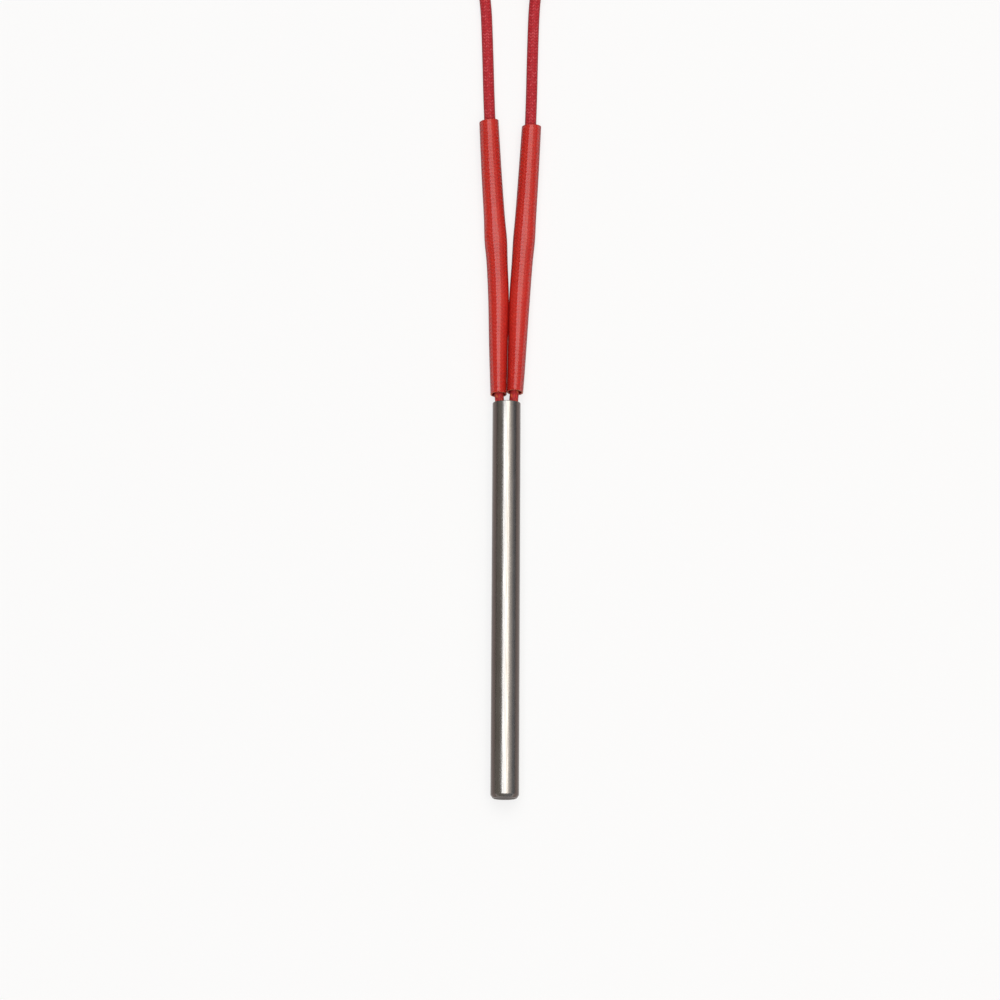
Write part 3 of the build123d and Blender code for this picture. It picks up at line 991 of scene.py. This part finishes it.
class IGNITER_OT_sleeves(bpy.types.Operator):
    """Model the two coated sleeves over the leads"""

    bl_idname = "igniter.sleeves"
    bl_label = "Sleeves"

    def rings(self, sizes, sign, sections):
        """Oval rings along the sleeve, squeezed and creased as its sections say."""
        step, segments, slant_length = 0.35, 96, 4.0
        radius = sizes.diameter / 2 / MM
        first, last = sections[0][0], sections[-1][0]
        count = round((last - first) / step)
        middles = []
        for index in range(count + 1):
            along = first + (last - first) * index / count
            edge = between(sections, along, 1)
            half_width = between(sections, along, 2) * radius
            half_height = math.sqrt(2 * radius**2 - half_width**2)
            middles.append((along, edge + sign * half_width, half_width, half_height))
        rings = []
        for index, (along, x, half_width, half_height) in enumerate(middles):
            before, after = middles[max(index - 1, 0)], middles[min(index + 1, count)]
            heading = math.atan2(after[1] - before[1], after[0] - before[0])
            slant = math.tan(sizes.cut_slant) * max(0.0, 1 - (last - along) / slant_length)
            places = []
            for spoke in range(segments):
                angle = math.tau * spoke / segments
                aside, rise = half_width * math.sin(angle), half_height * math.cos(angle)
                shift = slant * aside
                places.append(placed(
                    x + aside * math.cos(heading) + shift * math.sin(heading),
                    along - aside * math.sin(heading) + shift * math.cos(heading),
                    half_height + rise,
                ))
            rings.append(((along - first) * MM, places))
        return rings

    def execute(self, context):
        sizes = context.scene.igniter_sleeves
        coating, cut = sleeve_material(sizes), cut_fibre_material(sizes)
        for side, sign, _, _, sections in SIDES:
            sleeve = add_piece(
                f"coated_sleeve_{side}",
                lambda shape: tube(shape, self.rings(sizes, sign, sections), closed_ends=False),
                coating, cut,
            )
            wall = sleeve.modifiers.new("wall", "SOLIDIFY")
            wall.thickness = sizes.wall
            wall.offset = -1.0
            wall.material_offset_rim = 1
            smooth_but_edges(sleeve, math.radians(50))
            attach(sleeve, "root")
            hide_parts(f"sleeve_{side}")
        return {"FINISHED"}


class IGNITER_OT_sheath(bpy.types.Operator):
    """Model the steel sheath with its turned-in tip and welded disc"""

    bl_idname = "igniter.sheath"
    bl_label = "Sheath"

    def execute(self, context):
        sizes = context.scene.igniter_sheath
        radius, bore = SHEATH_RADIUS, SHEATH_RADIUS - sizes.wall
        turn_y, turn_radius = TIP_Y + sizes.tip_turn_length, radius - sizes.tip_turn_depth
        slope = sizes.tip_turn_depth / sizes.tip_turn_length
        cone_back = turn_y + sizes.wall * math.tan(math.atan(slope) / 2)
        lip = turn_radius - sizes.lip
        lip_back = cone_back - (bore - lip) / slope

        def tube_with_tip(shape):
            spun(
                shape,
                [
                    (lip, lip_back), (lip, TIP_Y), (turn_radius, TIP_Y), (radius, turn_y), (radius, MOUTH_Y),
                    (bore, MOUTH_Y), (bore, cone_back), (lip, lip_back),
                ],
                sizes.segments,
            )
            for at_radius, at_y, amount, steps in (
                (radius, MOUTH_Y, sizes.mouth_round, 5),
                (bore, MOUTH_Y, sizes.mouth_break, 1),
                (radius, turn_y, sizes.tip_back_round, 3),
                (turn_radius, TIP_Y, sizes.tip_front_round, 3),
            ):
                bmesh.ops.bevel(
                    shape, geom=ring_edges(shape, at_radius, at_y), offset=amount, segments=steps,
                    affect="EDGES", profile=0.5, material=-1,
                )

        steel = steel_material("ground_steel", tuple(sizes.steel))
        sheath = add_piece("ground_sheath", tube_with_tip, steel)
        smooth_but_edges(sheath)
        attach(sheath, "root")
        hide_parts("sheath")

        nose = lip - sizes.disc_gap
        disc_back = cone_back + sizes.disc_gap
        disc_low, disc_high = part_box("end_disc")
        disc_radius = (disc_high.z - disc_low.z) / 2

        def disc(shape):
            spun(
                shape,
                [
                    (0.0, TIP_Y), (nose - sizes.weld_groove, TIP_Y), (nose, TIP_Y + sizes.weld_groove),
                    (nose, disc_back - (disc_radius - nose) / slope), (disc_radius, disc_back),
                    (disc_radius, disc_high.y), (0.0, disc_high.y),
                ],
                sizes.segments,
            )

        # painted shade: the end disc gets a darker steel colour, for the darker reflection on its face
        disc_painted_dark = steel_material("disc_steel", tuple(sizes.disc_steel), 0.32, edge_tint=tuple(sizes.disc_edge))
        end_disc = add_piece("welded_end_disc", disc, disc_painted_dark)
        smooth_but_edges(end_disc)
        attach(end_disc, "root")
        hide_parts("end_disc")
        return {"FINISHED"}


class IGNITER_OT_inside(bpy.types.Operator):
    """Give the pieces inside the sheath and the tie their materials"""

    bl_idname = "igniter.inside"
    bl_label = "Inner Pieces"

    def execute(self, context):
        ceramic = mottled_material("fired_ceramic", (0.80, 0.77, 0.70), 0.62, 1400.0)
        finishes = {
            "tip_wafer": ceramic,
            "ceramic_core": ceramic,
            "core_cap": ceramic,
            "magnesia_fill": mottled_material("packed_powder", (0.74, 0.73, 0.70), 0.8, 2600.0, 0.05 * MM),
            "heating_coil": mottled_material("coil_ribbon", (0.36, 0.32, 0.28), 0.45, 1500.0, 0.01 * MM, 1.0),
            "mouth_seal": mottled_material("potting_cement", (0.66, 0.55, 0.40), 0.75, 1600.0, 0.06 * MM),
        }
        nickel = mottled_material("nickel", (0.66, 0.62, 0.55), 0.3, 1900.0, 0.006 * MM, 1.0)
        glass = mottled_material("woven_glass", (0.80, 0.76, 0.64), 0.8, 3200.0, 0.08 * MM)
        for side in ("left", "right"):
            for name in ("pin", "crimp", "conductor"):
                finishes[f"{name}_{side}"] = nickel
            finishes[f"crimp_cover_{side}"] = glass
        finishes["hank_tie"] = mottled_material("tie_nylon", (0.80, 0.79, 0.74), 0.42, 500.0)
        for name, material in finishes.items():
            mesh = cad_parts[name].data
            mesh.materials.clear()
            mesh.materials.append(material)
        return {"FINISHED"}


class IGNITER_OT_declare(bpy.types.Operator):
    """Gather the pieces on each cord: its core, sleeve and stripped end, and the tie on the left one; nothing
    is done with them
    """

    bl_idname = "igniter.declare"
    bl_label = "Declare Cords"

    def execute(self, context):
        for side, _, route, _, _ in SIDES:
            on_it = [bpy.data.objects[name] for name in (
                f"lead_core_{side}_wire", f"coated_sleeve_{side}", f"stripped_end_{side}",
            )]
            if side == "left":
                on_it.append(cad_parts["hank_tie"])
        return {"FINISHED"}


class IGNITER_PT_panel(bpy.types.Panel):
    """Lists the igniter's pieces in the sidebar"""

    bl_idname = "IGNITER_PT_panel"
    bl_label = "Cartridge Igniter"
    bl_space_type = "VIEW_3D"
    bl_region_type = "UI"
    bl_category = "Igniter"

    def draw(self, context):
        for operator in OPERATORS:
            self.layout.operator(operator.bl_idname)


OPERATORS = (
    IGNITER_OT_stage, IGNITER_OT_leads, IGNITER_OT_sleeves, IGNITER_OT_sheath, IGNITER_OT_inside,
    IGNITER_OT_declare,
)
CLASSES = (*GROUPS.values(), *OPERATORS, IGNITER_PT_panel)


def register():
    for cls in CLASSES:
        bpy.utils.register_class(cls)
    for name, group in GROUPS.items():
        setattr(bpy.types.Scene, name, PointerProperty(type=group))


def unregister():
    for name in GROUPS:
        delattr(bpy.types.Scene, name)
    for cls in reversed(CLASSES):
        bpy.utils.unregister_class(cls)


def main():
    """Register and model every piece."""
    register()
    bpy.ops.igniter.stage()
    bpy.ops.igniter.leads()
    bpy.ops.igniter.sleeves()
    bpy.ops.igniter.sheath()
    bpy.ops.igniter.inside()
    bpy.ops.igniter.declare()


if __name__ == "__main__":
    main()
